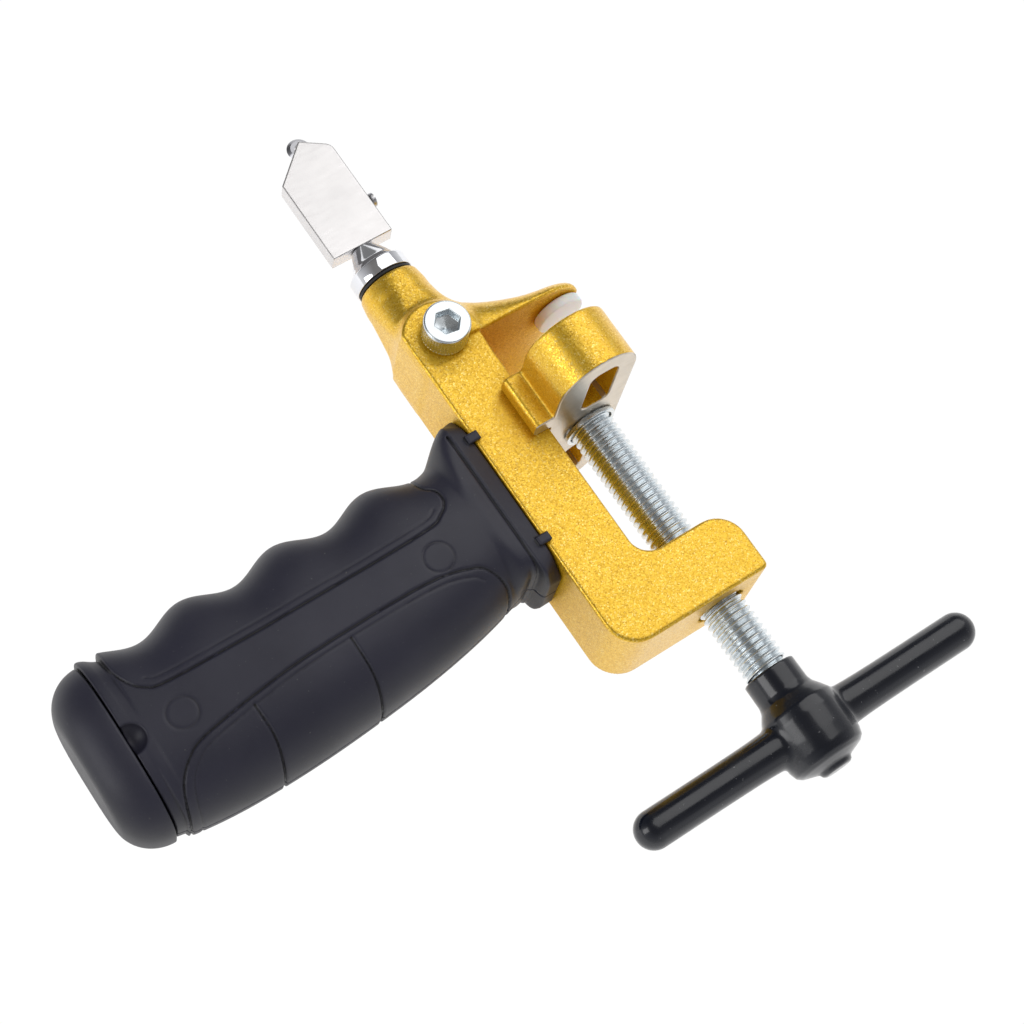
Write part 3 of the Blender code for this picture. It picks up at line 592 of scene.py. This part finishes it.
v, q = nets(head_field, (-26.5, 107.1, -2.3), (-11.0, 136.3, 2.3), 0.2)
to_object("head_body", v, q, NICKEL, "head", ["cutter_head"])
v, f = lathe([(1.0, -0.5), (1.9, -0.6), (2.55, -0.12), (2.7, 0.0), (2.55, 0.12), (1.9, 0.6), (1.0, 0.5), (1.0, -0.5)], (-17.5, 135.1, 0), "Z", 128)
to_object("cutting_wheel", v, f, CARBIDE, "wheel", ["cutter_wheel"], angle=25)


def side_screw(x, y, z):
    r = np.hypot(y - 116.5, z)
    head = inter(r - 1.65, np.maximum(-10.95 - x, x + 9.9), 0.25)
    head = np.maximum(head, -np.maximum(np.abs(y - 116.5) - 0.28, -10.5 - x))
    shank = inter(r - 1.15 - 0.06 * np.cos(2 * np.pi * x / 0.5), np.maximum(x + 10.9, -17.3 - x), 0.1)
    return np.minimum(head, shank)


v, q = nets(side_screw, (-17.6, 114.7, -1.9), (-9.7, 118.3, 1.9), 0.12)
to_object("head_side_screw", v, q, STEEL, "head", ["head_lock_screw"])


def lock_field(x, y, z):
    dx, dy = x + 18.9, y - 77.2
    r = np.hypot(dx, dy)
    t = np.arctan2(dy, dx)
    band = step01((z - 11.3) / 0.4) * step01((15.9 - z) / 0.4)
    knurl = 0.17 * band * (0.5 - 0.5 * np.cos(46 * t))
    head = inter(r - 5.0 + knurl, np.maximum(10.8 - z, z - 16.8), 0.45)
    shank = inter(r - 2.85, np.maximum(4.3 - z, z - 11.5), 0.4)
    k = math.radians(20)
    hexd = np.maximum(np.maximum(np.abs(dx * math.cos(k) + dy * math.sin(k)), np.abs(dx * math.cos(k + math.pi / 3) + dy * math.sin(k + math.pi / 3))), np.abs(dx * math.cos(k + 2 * math.pi / 3) + dy * math.sin(k + 2 * math.pi / 3))) - 2.5
    floor = 13.7 + 0.35 * r - z
    return cut(np.minimum(head, shank), np.maximum(hexd, floor), 0.12)


v, q = nets(lock_field, (-24.1, 72.0, 4.1), (-13.7, 82.4, 17.0), 0.15)
to_object("lock_screw_socket_head", v, q, ZINC, "lock_screw", ["stem_lock_screw"])


# ---------------------------------------------------------------- grip
PALM_LINE = [(-119, 17.2), (-115, 16.5), (-104, 15.6), (-98, 15.2), (-85, 15.5), (-70, 16.8), (-58, 18.1), (-47, 19.9), (-41, 21.3), (-36, 22.8), (-32, 24.2)]
BELLY = np.polyfit([(p[0] + 76) / 40 for p in PALM_LINE], [p[1] for p in PALM_LINE], 4)


def grip_top(x):
    wave = 56.8 - 0.018 * (-51.5 - x) + 1.6 * np.cos(2 * np.pi * (x + 51.3) / 21.75)
    k = step01((x + 37.5) / 10.3)
    return wave * (1 - k) + 61.4 * k


def grip_bottom(x):
    belly = np.polyval(BELLY, (x + 76) / 40)
    k = step01((x + 32.6) / 2.6)
    return belly * (1 - k) + 20.7 * k


def grip_half(x):
    body = 12.5 + 0.5 * np.cos(2 * np.pi * (x + 75) / 110)
    k = step01((x + 35.0) / 4.0)
    return body * (1 - k) + 11.6 * k


FINGER = spline([(-41.2, 56.6), (-41.8, 51.5), (-39.9, 48.7), (-40.0, 45.6), (-42.4, 43.4), (-46.4, 42.1), (-62.5, 41.6), (-90, 41.5), (-106.4, 42.0), (-110.3, 43.2), (-112.9, 46.1), (-114.2, 50.7), (-114.0, 56.5)])
FINGER_IN = spline([(-42.9, 45.2), (-46.6, 43.9), (-62.5, 43.4), (-90, 43.3), (-106.0, 43.8), (-109.4, 44.9)])
PALM = spline([(-37.6, 17.0), (-39, 20.7), (-38.1, 24.4), (-40.2, 28.8), (-43.6, 30.9), (-53.2, 32.6), (-78, 32.2), (-92.3, 31), (-105.8, 28.9), (-110.3, 26.8), (-113.5, 23.6), (-115.2, 19.5), (-116.2, 14.5)])
PALM_IN = spline([(-42.0, 27.6), (-44.6, 29.4), (-53.2, 30.9), (-78, 30.6), (-92.0, 29.3), (-104.8, 27.3), (-109.0, 25.4), (-111.6, 22.8), (-113.0, 19.3), (-113.9, 14.5)])
CROSS = [spline([(-94.6, 29.2), (-94.4, 21.1), (-96.6, 12.0)]), spline([(-71.7, 30.8), (-71.6, 21.3), (-73.8, 12.0)])]
SEAM = -118.4


def grip_outer(x, y, z):
    t, b, c = grip_top(x), grip_bottom(x), grip_half(x)
    # The plain block behind the last finger.
    k = step01((-113.9 - x) / 0.6)
    t = t * (1 - k) + (55.2 + 1.9 * step01((-114.0 - x) / 4.0)) * k
    kb = step01((-116.0 - x) / 0.5)
    b = b * (1 - kb) + (b + 0.9) * kb
    yc, hy = (t + b) / 2, (t - b) / 2
    p = 2.5 + 5.0 * step01((x + 37.0) / 6.5)
    u = (np.abs((y - yc) / hy) ** p + np.abs(z / c) ** p + 1e-9) ** (1 / p)
    return (u - 1) * np.minimum(hy, c) * 0.95


def grip_detail(x, y, z, side):
    """Engraved lines: positive where material is taken away."""
    def groove(pts, w, depth):
        return depth * np.exp(-((line_dist(x, y, pts) / w) ** 2))

    g = groove(FINGER, 0.25, 0.42) + groove(FINGER_IN, 0.24, 0.12)
    g = g + groove(PALM, 0.25, 0.40) + groove(PALM_IN, 0.24, 0.13)
    for c_ in CROSS:
        g = g + groove(c_, 0.25, 0.38)
    for cx, cy in ((-47.8, 36.0), (-107.0, 35.0)):
        g = g + 0.16 * np.exp(-(((np.hypot(x - cx, y - cy) - 3.2) / 0.24) ** 2))
    return g


def grip_shell_field(side):
    def field(x, y, z):
        outer = grip_outer(x, y, z)
        # The engraved detail is cut into the outer surface.
        outer = outer + grip_detail(x, y, z, side)
        # Flange lip against the spine: a chamfered strip inside the ridge.
        lip = step01((x + 31.2) / 0.5)
        outer = outer + 0.5 * np.exp(-(((x + 31.3) / 0.35) ** 2)) * (np.abs(y - 38.5) < 19)
        outer = outer + 0.32 * np.clip(x + 30.8, 0, 4) * step01((np.abs(z) - 6) / 3)
        d = inter(outer, np.maximum(x + 27.05, SEAM - x), 0.35)
        d = cut(d, inter(outer + 2.5, np.maximum(x + 27.0 + 3, SEAM - 3 - x), 0.5))
        for y0 in (54.6, 28.7):
            nub = inter(np.maximum(np.abs(y - y0) - 1.05, np.abs(x + 27.0) - 1.5), np.abs(z - side * 11.2) - 0.42, 0.35)
            d = union(d, nub, 0.5)
        for cx, cy in ((-47.8, 36.0), (-107.0, 35.0)):
            d = np.minimum(d, np.maximum(cyl(x, y, cx, cy, 3.5), np.maximum(np.abs(z) - 11.0, -side * z)))
            if side < 0:
                d = cut(d, np.maximum(cyl(x, y, cx, cy, 3.05), z + 8.0), 0.2)
        notch = np.sqrt((x + 118.0) ** 2 + (y - 35.6) ** 2 + (z - side * 13.6) ** 2) - 3.6
        d = cut(d, notch, 0.15)
        return inter(d, 0.08 - side * z, 0.12)

    return field


for side, name, cad in ((1, "grip_front_moulding", "grip_shell_front"), (-1, "grip_back_moulding", "grip_shell_back")):
    lo, hi = (-118.6, 14.0, 0.0), (-24.8, 62.0, 13.6)
    if side < 0:
        lo, hi = (lo[0], lo[1], -13.6), (hi[0], hi[1], 0.0)
    v, q = nets(grip_shell_field(side), lo, hi, 0.31, 2)
    to_object(name, v, q, GRIP, "frame", [cad])


def cap_field(x, y, z):
    t, b, c = 56.1, 17.2, grip_half(np.minimum(x, SEAM) * 0 + SEAM)
    s = np.clip((SEAM - 0.3 - x) / 8.8, 0, 0.9995)
    grow = 1 - np.sqrt(1 - s * s)
    grow_top, grow_bot = 9.0 * grow, 8.0 * grow
    tt, bb, cc = t - grow_top, b + grow_bot, c - 5.6 * grow
    yc, hy = (tt + bb) / 2, (tt - bb) / 2
    u = (np.abs((y - yc) / hy) ** 2.6 + np.abs(z / cc) ** 2.5 + 1e-9) ** (1 / 2.5)
    out = inter((u - 1) * np.minimum(hy, cc) * 0.9, np.maximum(x - SEAM + 0.28, -127.5 - x), 0.4)
    hy2, yc2 = 13.4, 36.2
    u = (np.abs((y - yc2) / hy2) ** 2.5 + np.abs(z / (c - 4.3)) ** 2.5 + 1e-9) ** 0.4
    plug = inter((u - 1) * (c - 4.3), np.maximum(x + 112.4, -121 - x), 0.6)
    return np.minimum(out, plug)


v, q = nets(cap_field, (-127.8, 15.5, -13.4), (-112.1, 58.0, 13.4), 0.36)
to_object("butt_cap", v, q, GRIP, "end_cap", ["end_cap"])

for name, mat in (("handle_hub", STEEL), ("t_bar", STEEL), ("retaining_clip", STEEL), ("grip_screw_upper", STEEL), ("grip_screw_lower", STEEL), ("wheel_axle", STEEL)):
    NODES[name].data.materials.clear()
    NODES[name].data.materials.append(mat)

# ---------------------------------------------------------------- floor, light, camera
floor_mesh = bpy.data.meshes.new("floor")
s_ = 6.0
floor_mesh.from_pydata([(-s_, -s_, 0), (s_, -s_, 0), (s_, s_, 0), (-s_, s_, 0)], [], [(0, 1, 2, 3)])
floor = bpy.data.objects.new("floor", floor_mesh)
bpy.context.scene.collection.objects.link(floor)
fm = Mat("floor_white", Base_Color=(0.9, 0.9, 0.9, 1), Roughness=0.9)
fm.bsdf.inputs["Emission Color"].default_value = (1, 1, 1, 1)
fm.bsdf.inputs["Emission Strength"].default_value = 0.56
# The surface the tool lies on is lit evenly to white from where it is looked at.
white = node(fm.nt, "ShaderNodeEmission", Strength=1.02)
path = node(fm.nt, "ShaderNodeLightPath")
blend = node(fm.nt, "ShaderNodeMixShader")
fm.link(path.outputs["Is Camera Ray"], blend.inputs[0])
fm.link(fm.bsdf.outputs[0], blend.inputs[1])
fm.link(white.outputs[0], blend.inputs[2])
fm.link(blend.outputs[0], fm.nt.nodes["Material Output"].inputs["Surface"])
floor_mesh.materials.append(fm.mat)

world = bpy.data.worlds.new("studio")
bpy.context.scene.world = world
world.use_nodes = True
wt = world.node_tree
bg = wt.nodes["Background"]
tc = wt.nodes.new("ShaderNodeTexCoord")
sp = wt.nodes.new("ShaderNodeSeparateXYZ")
cr = wt.nodes.new("ShaderNodeValToRGB")
wt.links.new(tc.outputs["Generated"], sp.inputs[0])
wt.links.new(sp.outputs["Z"], cr.inputs["Fac"])
mr = wt.nodes.new("ShaderNodeMapRange")
for k_, val_ in (("From Min", 0.35), ("From Max", 0.8), ("To Min", 1.0), ("To Max", 0.3)):
    mr.inputs[k_].default_value = val_
wt.links.new(sp.outputs["Y"], mr.inputs["Value"])
vm = wt.nodes.new("ShaderNodeVectorMath")
vm.operation = "SCALE"
wt.links.new(cr.outputs["Color"], vm.inputs[0])
wt.links.new(mr.outputs["Result"], vm.inputs["Scale"])
wt.links.new(vm.outputs[0], bg.inputs["Color"])
els = cr.color_ramp.elements
els[0].position, els[0].color = 0.0, (1, 1, 1, 1)
els[1].position, els[1].color = 0.85, (0.27, 0.26, 0.25, 1)
e = els.new(0.42)
e.color = (0.62, 0.62, 0.64, 1)
bg.inputs["Strength"].default_value = 0.8


def area(name, where, target, size, power, size_y=None):
    l = bpy.data.lights.new(name, "AREA")
    l.shape = "RECTANGLE"
    l.size, l.size_y = size, size_y or size
    l.energy = power
    o = bpy.data.objects.new(name, l)
    o.location = where
    o.rotation_euler = (Vector(target) - Vector(where)).to_track_quat("-Z", "Y").to_euler()
    bpy.context.scene.collection.objects.link(o)
    return o


MID = (-0.02, 0.0, 0.03)
area("top_box", (0.40, 0.22, 0.74), MID, 0.7, 2.75, 0.9)
area("left_box", (-0.72, 0.12, 0.46), MID, 0.34, 1.5, 0.5)
area("near_box", (0.1, -0.75, 0.35), MID, 0.6, 0.12, 0.3)

ROT = [(0.8190791, -0.5575733, 0.1349872), (-0.4764673, -0.7922321, -0.3812442), (0.3195128, 0.2479522, -0.9145662)]
F_PX = 2207.548
cam = bpy.data.cameras.new("camera")
cam.sensor_width = 36.0
cam.lens = F_PX / 1024 * 36.0
cam.clip_start, cam.clip_end = 0.01, 50
co = bpy.data.objects.new("camera", cam)
r = ROT
co.matrix_world = Matrix(
    (
        (r[0][0], -r[1][0], -r[2][0], -0.129450),
        (r[0][1], -r[1][1], -r[2][1], -0.121930),
        (r[0][2], -r[1][2], -r[2][2], 0.449028),
        (0, 0, 0, 1),
    )
)
bpy.context.scene.collection.objects.link(co)
bpy.context.scene.camera = co
bpy.context.scene.view_settings.view_transform = "Standard"
bpy.context.scene.view_settings.look = "None"
